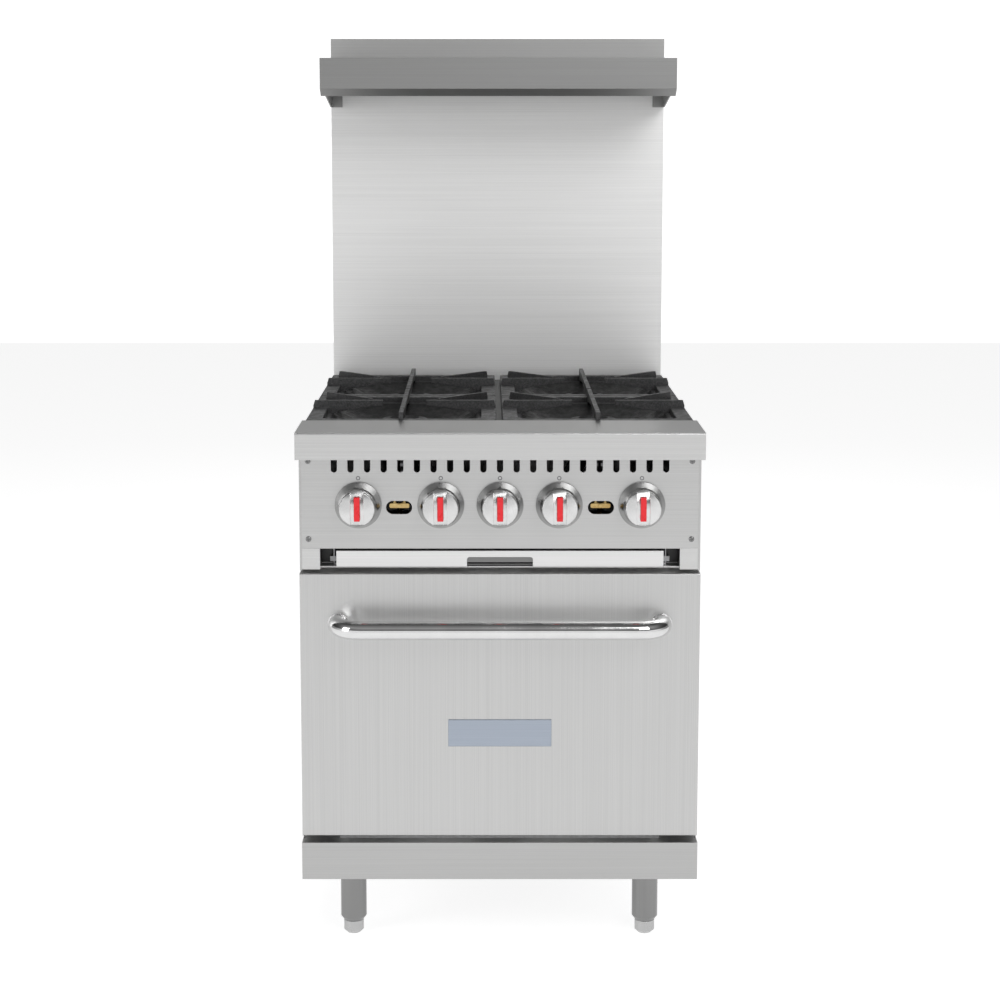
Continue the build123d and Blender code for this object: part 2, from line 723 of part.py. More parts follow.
def make_burner_body(x, y):
    """A cast burner body: a round bowl with its mixing tube and air shutter."""
    bowl = rod_z(x, y, 754, 776, burner_radius - 2)
    bowl = fillet(bowl.edges().sort_by(Axis.Z)[0], 8)
    hollow = rod_z(x, y, 762, 777, burner_radius - 8)
    throat = burner_throat(x, y)
    tube = rod(throat, (x, y, 762), 13)
    shutter = rod_y(throat[0], throat[1] - 4, throat[1] + 10, throat[2], 19)
    mouth = rod_y(throat[0], throat[1] - 5, throat[1] + 7, throat[2], 15)
    trim = wide_block(half_body, throat[1] - 60, throat[1] - 4, 640, 790)
    return cut(fuse([bowl, tube, shutter]), [mouth, trim, hollow])


def make_burner_head(x, y):
    """A round lift-off head with a ring of flame ports and a domed centre."""
    profile = Polyline((0, 776), (burner_radius, 776), (burner_radius, 788), (burner_radius - 8, 796),
                       (burner_radius - 20, 798), (20, 792), (0, 791), close=True)
    head = Pos(x, y, 0) * revolve(make_face(Plane.XZ * profile), Axis.Z)
    skirt = rod_z(x, y, 768, 777, burner_radius - 8.4)
    ports = []
    for i in range(port_count):
        angle = radians(i * 360 / port_count)
        reach = burner_radius + 4
        start = (x + (reach - 14) * cos(angle), y + (reach - 14) * sin(angle), 786)
        end = (x + reach * cos(angle), y + reach * sin(angle), 786)
        ports.append(rod(start, end, 2.2))
    return cut(fuse([head, skirt]), ports)


# ---------------------------------------------------------------------------
# Knobs
# ---------------------------------------------------------------------------

def make_knob(x):
    """A chrome skirt and dial; the dial has a deep channel for the pointer."""
    back = panel_face - 1.0
    front = back - knob_reach
    side = Polyline((0, front), (0, back), (35, back), (35, back - 3), (29, back - 20),
                    (26.6, back - 24), (26.6, front + 4.4), (25.6, front + 3.2))
    dome = ThreePointArc((25.6, front + 3.2), (13, front + 0.8), (0, front))
    knob = Pos(x, 0, knob_level) * revolve(make_face(side + dome), Axis.Y)
    channel = block(x - 10, x + 10, front - 1, front + 14, knob_level - 28, knob_level + 28)
    floor = rod_x(x - 11, x + 11, front + 4 + channel_radius, knob_level, channel_radius)
    channel = cut(channel, [floor])
    seat = block(x - 4.5, x + 4.5, front + 3, front + 9.2, knob_level - 18.2, knob_level + 18.2)
    socket = rod_y(x, front + 16, back + 1, knob_level, stem_radius)
    return cut(knob, [channel, seat, socket])


def make_knob_insert(x):
    """The red pointer bar set in the knob's channel."""
    front = panel_face - 1.0 - knob_reach
    bar = block(x - 4.3, x + 4.3, front - 0.6, front + 9, knob_level - 18, knob_level + 18)
    return fillet(bar.faces().sort_by(Axis.Y)[0].edges(), 0.9)


def make_valve_stem(x):
    """The valve's spindle, from inside the valve to inside the knob."""
    front = panel_face - 1.0 - knob_reach
    return rod_y(x, front + 16, manifold_y - 11, knob_level, stem_radius)


# ---------------------------------------------------------------------------
# Grates
# ---------------------------------------------------------------------------

def finger_outline(length, bar):
    """The side of a grate finger: distance from the grate's edge, and height."""
    return [(0.5, rail_top - 1), (0.5, rail_top + 4), (3, finger_top), (length, finger_top),
            (length, finger_top - 9), (length - 12, finger_top - 9),
            (bar + 30, finger_top - 16), (bar + 15, finger_top - 19),
            (bar + 8, finger_top - 23), (bar + 6, cooktop_top - 5), (bar, cooktop_top - 5),
            (bar - 1, rail_top - 2)]


def finger(length, bar, thick, turn, reach):
    """One finger pointing at the grate's centre, turned about it."""
    outline = Plane.XZ * Polygon(*finger_outline(length, bar), align=None)
    blade = extrude(outline, thick / 2, both=True)
    return Rot(0, 0, turn) * Pos(-reach, 0, 0) * blade


def bowl_section(half_x, half_y, corner, level):
    """A rounded rectangle at one level of the bowl."""
    return Plane.XY.offset(level) * RectangleRounded(2 * half_x, 2 * half_y, corner)


def make_aeration_bowl(half_x, half_y):
    """The sloping dish inside a grate, open in the middle for the burner."""
    wall = 4.0
    foot = bowl_foot
    high, low = cooktop_top + 3, bowl_hole_level
    outer = loft([bowl_section(half_x + 0.2, half_y + 0.2, 12, high), bowl_section(foot, foot, 40, low)])
    inner = loft([bowl_section(half_x - wall, half_y - wall, 10, high),
                  bowl_section(foot - wall, foot - wall, 38, low)])
    return cut(outer, [inner])


def make_grate(x, y):
    """A cast-iron grate: rim, bowl, one bar from front to rear, two side fingers, two corner ones."""
    side_bar, cross_bar = 24.0, 20.0
    half_x, half_y = grate_width / 2, grate_depth / 2
    outer = block(-half_x, half_x, -half_y, half_y, cooktop_top, rail_top)
    outer = chamfer(outer.edges().filter_by(Axis.Z), 3)
    window = block(-half_x + side_bar, half_x - side_bar, -half_y + cross_bar, half_y - cross_bar,
                   cooktop_top - 1, rail_top + 1)
    window = fillet(window.edges().filter_by(Axis.Z), 12)
    rim = cut(outer, [window])
    rim = chamfer(rim.faces().sort_by(Axis.Z)[-1].edges(), 1.0)
    bowl = make_aeration_bowl(half_x - side_bar, half_y - cross_bar)
    fingers = [finger(half_x - finger_gap, side_bar, 7, turn, half_x) for turn in (0, 180)]
    fingers += [finger(half_y + 1, cross_bar, 7, turn, half_y) for turn in (90, 270)]
    for side in (-1, 1):
        angle = -48 if side < 0 else -132
        blade = finger(corner_finger, side_bar, 6, 0, 0)
        start = (side * (half_x - 15), half_y - 42)
        fingers.append(Pos(start[0], start[1], 0) * Rot(0, 0, angle) * blade)
    return Pos(x, y, 0) * fuse([rim, bowl] + fingers)


# ---------------------------------------------------------------------------
# Write every piece
# ---------------------------------------------------------------------------
os.makedirs("parts", exist_ok=True)


def write(name, shape):
    shape.label = name
    export_step(shape, f"parts/{name}.step")


write("base_frame", make_base_frame())
write("kick_panel", make_kick_panel())
write("side_panel_left", make_side_panel(-1))
write("side_panel_right", make_side_panel(1))
write("rear_panel", make_rear_panel())
write("front_frame", make_front_frame())
write("cooktop_frame", make_cooktop_frame())
write("front_rail", make_front_rail())
write("control_panel", make_control_panel())
write("panel_screws", make_panel_screws())
write("tray_rails", make_tray_rails())
write("crumb_tray", make_crumb_tray())
write("leg_tubes", make_leg_tubes())
write("oven_liner", make_oven_liner())
write("oven_floor", make_oven_floor())
write("oven_burner", make_oven_burner())
write("rack_guides", make_rack_guides())
write("oven_racks", group([make_oven_rack(level) for level in rack_levels[::2]]))
write("oven_insulation", make_oven_insulation())
write("flue_riser", make_flue_riser())
write("backguard", make_backguard())
write("high_shelf", make_high_shelf())
write("shelf_gussets", make_shelf_gussets())
write("door_skin", make_door_skin())
write("door_liner", make_door_liner())
write("door_gasket", make_door_gasket())
write("door_insulation", make_door_insulation())
write("door_handle", make_door_handle())
write("door_badge", make_door_badge())
write("hinge_arms", make_hinge_arms())
write("hinge_brackets", make_hinge_brackets())
write("manifold_pipe", make_manifold_pipe())
write("gas_valves", group([make_burner_valves(), make_thermostat_valve()]))
write("pilot_valves", make_pilot_valves())
write("pilot_tubes", make_pilot_tubes())
write("burner_bodies", group([make_burner_body(x, y) for x, y in burner_centres()]))
write("burner_heads", group([make_burner_head(x, y) for x, y in burner_centres()]))

for place, (x, y) in zip(("front_left", "front_right", "rear_left", "rear_right"), burner_centres()):
    write(f"grate_{place}", make_grate(x, y))

for number, x in enumerate(knob_places, start=1):
    write(f"knob_{number}", make_knob(x))
    write(f"knob_{number}_insert", make_knob_insert(x))
    write(f"knob_{number}_stem", make_valve_stem(x))

for y, depth_name in zip(leg_places, ("front", "rear")):
    for x, side_name in ((-leg_x, "left"), (leg_x, "right")):
        write(f"foot_{depth_name}_{side_name}", make_foot(x, y))
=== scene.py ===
import math

import bmesh
import bpy
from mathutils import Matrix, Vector


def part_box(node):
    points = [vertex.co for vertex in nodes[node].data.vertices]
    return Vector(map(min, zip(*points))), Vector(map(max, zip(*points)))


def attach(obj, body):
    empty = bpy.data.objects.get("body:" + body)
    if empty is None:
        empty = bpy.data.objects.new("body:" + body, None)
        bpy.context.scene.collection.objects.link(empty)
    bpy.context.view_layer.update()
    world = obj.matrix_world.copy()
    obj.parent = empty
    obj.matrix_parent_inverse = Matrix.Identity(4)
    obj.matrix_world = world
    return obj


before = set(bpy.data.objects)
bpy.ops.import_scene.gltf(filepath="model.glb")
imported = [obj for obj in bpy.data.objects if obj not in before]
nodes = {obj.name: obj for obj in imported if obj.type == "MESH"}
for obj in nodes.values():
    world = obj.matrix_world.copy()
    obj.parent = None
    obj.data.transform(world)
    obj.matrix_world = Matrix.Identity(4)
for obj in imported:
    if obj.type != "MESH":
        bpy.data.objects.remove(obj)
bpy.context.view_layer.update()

# ---------------------------------------------------------------------------
# The looks of a four-burner commercial gas range: satin stainless sheet, black
# cast-iron grates, chrome knobs with red pointers. Metres. The CAD nodes keep
# their shapes; this script gives them materials and adds the off marks, the
# screw and bolt heads and the louvre hoods that the sheet metal carries.
# ---------------------------------------------------------------------------

chassis = "chassis"

# Faces and levels read from the CAD
rail_low, rail_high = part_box("front_rail")
panel_low, panel_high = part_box("control_panel")
backguard_low, backguard_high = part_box("backguard")
shelf_low, shelf_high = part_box("high_shelf")

# Where a finish changes within one piece; most of these levels bound painted shade
knob_skirt = 0.0245          # from the panel to the front of the knobs' skirts, which are painted darker in place of dark reflections
panel_depth = 0.006          # the tray's and the frame's insides start this far behind the panel; painted shade darkens them
ledge_level = 0.6075         # top of the ledge under the tray; painted shade makes the frame nearly black above it
rail_skin = 0.0012           # the rail's top face, above its rounded edge, where painted shade darkens it
face_skin = 0.001            # the front face of the backguard, where painted shade darkens it above the shelf
backguard_metal = 0.72       # less of a mirror than the other sheets
bowl_shade_level = 0.8035          # the grates' bowls lie below this, darkened by painted shade

# Cooling slots in the rear panel
louvre_rows = (0.620, 0.636, 0.652)
louvre_columns = (-0.180, 0.0, 0.180)
louvre_half = 0.045
hood_overlap = 0.004         # past each end of a slot
hood_reach = 0.006
hood_rise = 0.005            # above the middle of its slot
hood_drop = 0.0045           # below it
hood_lift = 0.0001           # off the panel
hood_steps = 8

# Small fittings
knob_numbers = (1, 2, 3, 4, 5)
off_mark_height = 0.0405     # above the knob's axis
off_mark_radius = 0.0026
off_mark_line = 0.0006
ink_lift = 0.00003           # keeps the ink just in front of the steel
screw_radius = 0.0035
screw_edge = 0.014           # from the rear panel's edges
bottom_screws = (-0.15, 0, 0.15)
bolt_radius = 0.0045
leg_flange = 0.084
flange_thickness = 0.005
bolt_inset = 0.010           # from the flange's edges


# ---------------------------------------------------------------------------
# Camera, floor and light
# ---------------------------------------------------------------------------

camera_distance = 3.1243     # from the front of the rail
camera_height = 1.2638
camera_side = -0.022
camera_pitch = math.radians(7.839)
camera_lens = 76.763
camera_shift_x = 0.0147
camera_shift_y = -0.08

floor_half = 9.0
floor_glow = 0.60            # what the range's steel sees of the floor
floor_white = 0.85           # what the camera sees of it

# Brightness of the studio around the range, from straight down (0) to straight up (1)
studio_bands = ((0.00, 0.60), (0.49, 0.60), (0.50, 0.95), (0.56, 1.00), (0.585, 0.22),
                (0.66, 0.12), (0.72, 0.20), (0.86, 0.30), (0.90, 0.20), (1.00, 0.16))
back_of_studio = 0.28        # how bright the studio is behind the range, against its front
studio_front = -0.55         # Y of the world direction where full brightness ends
studio_back = 0.25           # Y of the world direction where the back's brightness begins
backdrop_white = 1.15        # what the camera sees of the studio

# Soft lights: name, place, size and power. All face the middle of the range.
range_middle = (0, 0, 0.8)
studio_lights = (
    ("key", (1.7, -3.6, 3.4), (2.2, 2.2), 70),
    ("fill", (-3.4, -2.4, 1.6), (1.6, 2.6), 34),
    ("top", (0.2, 0.9, 4.2), (2.0, 1.2), 46),
    ("back", (0.0, 3.8, 2.6), (2.4, 2.0), 12),
)


def add_camera():
    data = bpy.data.cameras.new("camera")
    data.lens = camera_lens
    data.sensor_width = 36.0
    data.shift_x = camera_shift_x
    data.shift_y = camera_shift_y
    camera = bpy.data.objects.new("camera", data)
    camera.location = (camera_side, rail_low.y - camera_distance, camera_height)
    camera.rotation_euler = (math.pi / 2 - camera_pitch, 0.0, 0.0)
    bpy.context.scene.collection.objects.link(camera)
    bpy.context.scene.camera = camera


def add_floor():
    """A white studio floor that glows enough to fade into the backdrop."""
    mesh = bpy.data.meshes.new("floor")
    corners = [(x * floor_half, y * floor_half, 0) for x, y in ((-1, -1), (1, -1), (1, 1), (-1, 1))]
    mesh.from_pydata(corners, [], [(0, 1, 2, 3)])
    floor = bpy.data.objects.new("floor", mesh)
    bpy.context.scene.collection.objects.link(floor)
    material = bpy.data.materials.new("floor_finish")
    material.use_nodes = True
    shader = material.node_tree.nodes["Principled BSDF"]
    shader.inputs["Base Color"].default_value = (0.50, 0.50, 0.50, 1)
    shader.inputs["Roughness"].default_value = 0.9
    shader.inputs["Specular IOR Level"].default_value = 0.1
    shader.inputs["Emission Color"].default_value = (1, 1, 1, 1)
    links = material.node_tree.links
    seen = material.node_tree.nodes.new("ShaderNodeLightPath").outputs["Is Camera Ray"]
    glow = material.node_tree.nodes.new("ShaderNodeMapRange")
    glow.inputs["To Min"].default_value = floor_glow
    glow.inputs["To Max"].default_value = floor_white
    links.new(seen, glow.inputs["Value"])
    links.new(glow.outputs["Result"], shader.inputs["Emission Strength"])
    mesh.materials.append(material)


def add_area_light(name, location, target, size, power):
    """A rectangular soft light turned towards its target."""
    data = bpy.data.lights.new(name, "AREA")
    data.shape = "RECTANGLE"
    data.size, data.size_y = size
    data.energy = power
    light = bpy.data.objects.new(name, data)
    light.location = location
    aim = Vector(target) - Vector(location)
    light.rotation_euler = aim.to_track_quat("-Z", "Y").to_euler()
    bpy.context.scene.collection.objects.link(light)


def add_world():
    """A white backdrop for the camera; light and dark bands for the steel to reflect."""
    world = bpy.data.worlds.new("studio")
    world.use_nodes = True
    tree = world.node_tree
    direction = tree.nodes.new("ShaderNodeTexCoord").outputs["Generated"]
    axes = tree.nodes.new("ShaderNodeSeparateXYZ")
    tree.links.new(direction, axes.inputs["Vector"])
    height = tree.nodes.new("ShaderNodeMapRange")
    height.inputs["From Min"].default_value = -1.0
    height.inputs["From Max"].default_value = 1.0
    tree.links.new(axes.outputs["Z"], height.inputs["Value"])
    bands = tree.nodes.new("ShaderNodeValToRGB")
    ramp = bands.color_ramp
    while len(ramp.elements) < len(studio_bands):
        ramp.elements.new(0.5)
    for element, (position, level) in zip(ramp.elements, studio_bands):
        element.position = position
        element.color = (level, level, level, 1)
    tree.links.new(height.outputs["Result"], bands.inputs["Fac"])
    behind = tree.nodes.new("ShaderNodeMapRange")
    behind.interpolation_type = "SMOOTHSTEP"
    behind.inputs["From Min"].default_value = studio_front
    behind.inputs["From Max"].default_value = studio_back
    behind.inputs["To Min"].default_value = 1.0
    behind.inputs["To Max"].default_value = back_of_studio
    tree.links.new(axes.outputs["Y"], behind.inputs["Value"])
    studio = tree.nodes.new("ShaderNodeVectorMath")
    studio.operation = "SCALE"
    tree.links.new(bands.outputs["Color"], studio.inputs["Vector"])
    tree.links.new(behind.outputs["Result"], studio.inputs["Scale"])
    seen = tree.nodes.new("ShaderNodeLightPath").outputs["Is Camera Ray"]
    mix = tree.nodes.new("ShaderNodeMix")
    mix.data_type = "RGBA"
    tree.links.new(seen, mix.inputs["Factor"])
    tree.links.new(studio.outputs["Vector"], mix.inputs["A"])
    mix.inputs["B"].default_value = (backdrop_white, backdrop_white, backdrop_white, 1)
    tree.links.new(mix.outputs["Result"], tree.nodes["Background"].inputs["Color"])
    tree.nodes["Background"].inputs["Strength"].default_value = 1.0
    bpy.context.scene.world = world
    bpy.context.scene.view_settings.view_transform = "Standard"


def add_lights():
    for name, location, size, power in studio_lights:
        add_area_light(name, location, range_middle, size, power)


# ---------------------------------------------------------------------------
# Materials
# ---------------------------------------------------------------------------

class Finish:
    """A material under construction: its nodes, links and principled shader."""

    def __init__(self, name, colour, metallic, roughness):
        self.material = bpy.data.materials.new(name)
        self.material.use_nodes = True
        self.nodes = self.material.node_tree.nodes
        self.links = self.material.node_tree.links
        self.shader = self.nodes["Principled BSDF"]
        self.shader.inputs["Base Color"].default_value = (*colour, 1)
        self.shader.inputs["Metallic"].default_value = metallic
        self.shader.inputs["Roughness"].default_value = roughness
        self.place = self.nodes.new("ShaderNodeTexCoord").outputs["Object"]

    def noise(self, stretch, detail=4.0, roughness=0.6):
        """Noise over the object's own coordinates, in repeats per metre along X, Y and Z."""
        mapping = self.nodes.new("ShaderNodeMapping")
        mapping.inputs["Scale"].default_value = stretch
        self.links.new(self.place, mapping.inputs["Vector"])
        texture = self.nodes.new("ShaderNodeTexNoise")
        texture.inputs["Scale"].default_value = 1.0
        texture.inputs["Detail"].default_value = detail
        texture.inputs["Roughness"].default_value = roughness
        self.links.new(mapping.outputs["Vector"], texture.inputs["Vector"])
        return texture.outputs["Fac"]

    def cells(self, per_metre, feature="F1"):
        texture = self.nodes.new("ShaderNodeTexVoronoi")
        texture.feature = feature
        texture.inputs["Scale"].default_value = per_metre
        self.links.new(self.place, texture.inputs["Vector"])
        return texture.outputs["Distance"]

    def ramp(self, value, dark, light, low=0.3, high=0.7):
        """Turn a 0-1 value into a run of colours."""
        ramp = self.nodes.new("ShaderNodeValToRGB")
        ramp.color_ramp.elements[0].position = low
        ramp.color_ramp.elements[0].color = (*dark, 1)
        ramp.color_ramp.elements[1].position = high
        ramp.color_ramp.elements[1].color = (*light, 1)
        self.links.new(value, ramp.inputs["Fac"])
        return ramp.outputs["Color"]

    def span(self, value, low, high, start=0.0, end=1.0):
        """Map a value onto the range from low to high."""
        span = self.nodes.new("ShaderNodeMapRange")
        span.inputs["From Min"].default_value = start
        span.inputs["From Max"].default_value = end
        span.inputs["To Min"].default_value = low
        span.inputs["To Max"].default_value = high
        self.links.new(value, span.inputs["Value"])
        return span.outputs["Result"]

    def math(self, operation, first, second):
        node = self.nodes.new("ShaderNodeMath")
        node.operation = operation
        for socket, value in zip(node.inputs, (first, second)):
            if isinstance(value, (int, float)):
                socket.default_value = value
            else:
                self.links.new(value, socket)
        return node.outputs["Value"]

    def blend(self, mask, first, second):
        """Mix two colours by a mask."""
        node = self.nodes.new("ShaderNodeMix")
        node.data_type = "RGBA"
        self.links.new(mask, node.inputs["Factor"])
        for socket, value in ((node.inputs["A"], first), (node.inputs["B"], second)):
            if isinstance(value, tuple):
                socket.default_value = (*value, 1)
            else:
                self.links.new(value, socket)
        return node.outputs["Result"]

    def to(self, socket, value):
        self.links.new(value, self.shader.inputs[socket])

    def bump(self, height, distance, strength=1.0, edge=0.0):
        """Surface relief, over edges softened by a small bevel."""
        node = self.nodes.new("ShaderNodeBump")
        node.inputs["Distance"].default_value = distance
        node.inputs["Strength"].default_value = strength
        self.links.new(height, node.inputs["Height"])
        if edge:
            bevel = self.nodes.new("ShaderNodeBevel")
            bevel.samples = 4
            bevel.inputs["Radius"].default_value = edge
            self.links.new(bevel.outputs["Normal"], node.inputs["Normal"])
        self.to("Normal", node.outputs["Normal"])


along_x = (2.0, 900.0, 900.0)
along_y = (900.0, 2.0, 900.0)
along_z = (900.0, 900.0, 2.0)
ABOVE, BELOW = "GREATER_THAN", "LESS_THAN"


def brushed(name, grain, tone=0.64, roughness=0.33, relief=0.00004):
    """Satin stainless sheet with fine brushing, faint cloudiness and soft folded edges."""
    finish = Finish(name, (tone, tone, tone), 1.0, roughness)
    lines = finish.noise(grain, 3.0, 0.7)
    clouds = finish.noise((2.5, 2.5, 2.5), 2.0, 0.5)
    dark, light = tone * 0.93, tone * 1.05
    streaks = finish.ramp(lines, (dark, dark, dark * 0.995), (light, light, light * 0.995))
    smudge = finish.span(clouds, 0.0, 0.22)
    finish.to("Base Color", finish.blend(smudge, streaks, (tone * 0.86, tone * 0.86, tone * 0.85)))
    wear = finish.math("ADD", finish.span(lines, -0.05, 0.07), finish.span(clouds, -0.03, 0.05))
    finish.to("Roughness", finish.math("ADD", wear, roughness))
    finish.bump(lines, relief, 0.5, 0.0007)
    return finish.material


def darken(material, tone, limits):
    """Multiply a finish's colour by a tone where every limit holds, painting shade there; on the knobs it
    stands in for dark reflections.

    A limit is an axis, ABOVE or BELOW, and a level in metres.
    """
    tree = material.node_tree
    shader = tree.nodes["Principled BSDF"]
    usual = shader.inputs["Base Color"].links[0].from_socket
    axes = tree.nodes.new("ShaderNodeSeparateXYZ")
    tree.links.new(tree.nodes.new("ShaderNodeTexCoord").outputs["Object"], axes.inputs["Vector"])
    darker = tree.nodes.new("ShaderNodeMix")
    darker.data_type = "RGBA"
    darker.blend_type = "MULTIPLY"
    mask = None
    for axis, side, level in limits:
        within = tree.nodes.new("ShaderNodeMath")
        within.operation = side
        tree.links.new(axes.outputs[axis], within.inputs[0])
        within.inputs[1].default_value = level
        if mask is None:
            mask = within.outputs["Value"]
            continue
        both = tree.nodes.new("ShaderNodeMath")
        both.operation = "MULTIPLY"
        tree.links.new(mask, both.inputs[0])
        tree.links.new(within.outputs["Value"], both.inputs[1])
        mask = both.outputs["Value"]
    tree.links.new(mask, darker.inputs["Factor"])
    tree.links.new(usual, darker.inputs["A"])
    darker.inputs["B"].default_value = (tone, tone, tone, 1)
    tree.links.new(darker.outputs["Result"], shader.inputs["Base Color"])
    return material


def polished(name, tone=0.88, roughness=0.06):
    """Chrome plate with faint wipe marks."""
    finish = Finish(name, (tone, tone, tone * 1.01), 1.0, roughness)
    smears = finish.noise((30, 30, 30), 5.0, 0.6)
    finish.to("Roughness", finish.span(smears, roughness * 0.6, roughness * 2.2, 0.3, 0.7))
    finish.to("Base Color", finish.ramp(smears, (tone * 0.95,) * 3, (tone * 1.02,) * 3))
    finish.bump(finish.noise((90, 90, 90), 2.0), 0.00001, 0.3, 0.0006)
    return finish.material


def turned_chrome(name):
    """Chrome plate over turned metal: its rings spread the light into fans about the knob's axis."""
    finish = Finish(name, (0.84, 0.84, 0.85), 1.0, 0.22)
    smears = finish.noise((40, 40, 40), 4.0)
    finish.to("Base Color", finish.ramp(smears, (0.76,) * 3, (0.88,) * 3))
    finish.to("Roughness", finish.span(smears, 0.17, 0.27, 0.3, 0.7))
    finish.shader.inputs["Anisotropic"].default_value = 0.85
    rings = finish.nodes.new("ShaderNodeTangent")
    rings.direction_type = "RADIAL"
    rings.axis = "Y"
    finish.to("Tangent", rings.outputs["Tangent"])
    finish.bump(finish.noise((90, 90, 90), 2.0), 0.00001, 0.3, 0.0006)
    return finish.material


def cast_iron(name, tone=0.030, roughness=0.62):
    """Sand-cast iron: a coarse skin, pits, and a slightly greyer wear on the high grains."""
    finish = Finish(name, (tone, tone, tone), 0.35, roughness)
    skin = finish.noise((420, 420, 420), 6.0, 0.7)
    lumps = finish.noise((90, 90, 90), 3.0, 0.6)
    pits = finish.cells(620)
    height = finish.math("ADD", finish.math("MULTIPLY", skin, 0.6), finish.math("MULTIPLY", lumps, 0.6))
    height = finish.math("ADD", height, finish.math("MULTIPLY", pits, 0.35))
    light = (tone * 2.1, tone * 2.1, tone * 2.15)
    finish.to("Base Color", finish.ramp(skin, (tone * 0.6,) * 3, light, 0.35, 0.75))
    finish.to("Roughness", finish.span(lumps, roughness - 0.12, roughness + 0.16, 0.3, 0.7))
    finish.bump(height, 0.0008, 0.75, 0.0012)
    return finish.material


def galvanised(name, tone=0.52):
    """Zinc-coated sheet with its crystal spangle."""
    finish = Finish(name, (tone, tone, tone * 1.02), 0.9, 0.42)
    spangle = finish.cells(150)
    grain = finish.noise((60, 60, 60), 3.0)
    light = (tone * 1.08, tone * 1.09, tone * 1.11)
    finish.to("Base Color", finish.ramp(spangle, (tone * 0.90,) * 3, light, 0.1, 0.8))
    finish.to("Roughness", finish.span(spangle, 0.34, 0.52))
    finish.bump(grain, 0.0001, 0.3, 0.0007)
    return finish.material


def enamel(name, tone=0.035):
    """Dark speckled porcelain enamel."""
    finish = Finish(name, (tone, tone, tone * 1.1), 0.0, 0.24)
    specks = finish.cells(900)
    ripple = finish.noise((55, 55, 55), 3.0)
    finish.to("Base Color", finish.ramp(specks, (0.34, 0.36, 0.42), (tone, tone, tone * 1.15), 0.05, 0.11))
    finish.to("Roughness", finish.span(ripple, 0.16, 0.34, 0.3, 0.7))
    finish.shader.inputs["Coat Weight"].default_value = 0.5
    finish.shader.inputs["Coat Roughness"].default_value = 0.12
    finish.bump(ripple, 0.0005, 0.25, 0.0009)
    return finish.material


def heated_steel(name):
    """Steel gone dark and blue-brown with heat."""
    finish = Finish(name, (0.16, 0.14, 0.13), 0.9, 0.45)
    tint = finish.noise((9, 9, 9), 4.0)
    scale = finish.noise((160, 160, 160), 4.0)
    finish.to("Base Color", finish.ramp(tint, (0.10, 0.085, 0.075), (0.20, 0.19, 0.21), 0.35, 0.65))
    finish.to("Roughness", finish.span(scale, 0.35, 0.6))
    finish.bump(scale, 0.0002, 0.4, 0.0006)
    return finish.material


def black_pipe(name):
    """Lacquered black iron pipe."""
    finish = Finish(name, (0.028, 0.028, 0.030), 0.2, 0.38)
    scale = finish.noise((130, 130, 130), 4.0)
    finish.to("Base Color", finish.ramp(scale, (0.016, 0.016, 0.017), (0.05, 0.045, 0.042)))
    finish.to("Roughness", finish.span(scale, 0.28, 0.5))
    finish.bump(scale, 0.0003, 0.4, 0.0008)
    return finish.material


def brass(name):
    """Turned brass with tool lines and light tarnish."""
    finish = Finish(name, (0.72, 0.50, 0.20), 1.0, 0.24)
    tarnish = finish.noise((70, 70, 70), 4.0)
    lines = finish.noise((1500, 60, 1500), 2.0)
    finish.to("Base Color", finish.ramp(tarnish, (0.52, 0.34, 0.12), (0.80, 0.60, 0.27)))
    finish.to("Roughness", finish.span(tarnish, 0.18, 0.38))
    finish.bump(lines, 0.00004, 0.4, 0.0005)
    return finish.material


def red_plastic(name):
    """Glossy moulded red plastic with a faint orange-peel surface."""
    finish = Finish(name, (0.86, 0.008, 0.018), 0.0, 0.32)
    peel = finish.noise((900, 900, 900), 2.0)
    depth = finish.noise((120, 120, 120), 3.0)
    finish.to("Base Color", finish.ramp(depth, (0.80, 0.006, 0.014), (0.92, 0.014, 0.026)))
    finish.to("Roughness", finish.span(depth, 0.22, 0.36))
    finish.shader.inputs["Coat Weight"].default_value = 0.3
    finish.bump(peel, 0.00005, 0.4, 0.0006)
    return finish.material


def fibre(name, dark, light, per_metre):
    """Matted or woven fibre."""
    finish = Finish(name, light, 0.0, 0.95)
    strands = finish.noise((per_metre, per_metre * 0.3, per_metre), 6.0, 0.75)
    tufts = finish.cells(per_metre * 0.35)
    finish.to("Base Color", finish.ramp(strands, dark, light))
    finish.shader.inputs["Sheen Weight"].default_value = 0.35
    finish.to("Roughness", finish.span(tufts, 0.85, 1.0))
    finish.bump(finish.math("ADD", strands, tufts), 0.0012, 0.8)
    return finish.material


def anodised(name):
    """A pale blue-silver anodised plate."""
    finish = Finish(name, (0.42, 0.47, 0.55), 0.85, 0.36)
    lines = finish.noise(along_x, 3.0)
    finish.to("Base Color", finish.ramp(lines, (0.40, 0.45, 0.53), (0.47, 0.52, 0.60)))
    finish.to("Roughness", finish.span(lines, 0.30, 0.42))
    finish.bump(lines, 0.00003, 0.4, 0.0005)
    return finish.material


# ---------------------------------------------------------------------------
# Materials on the CAD nodes
# ---------------------------------------------------------------------------

def cover(material, names):
    for name in names:
        mesh = nodes[name].data
        mesh.materials.clear()
        mesh.materials.append(material)


def smooth_shading():
    """Smooth the round faces and keep the folds sharp."""
    for node in nodes.values():
        node.data.shade_smooth()
        node.data.set_sharp_from_angle(angle=math.radians(32))


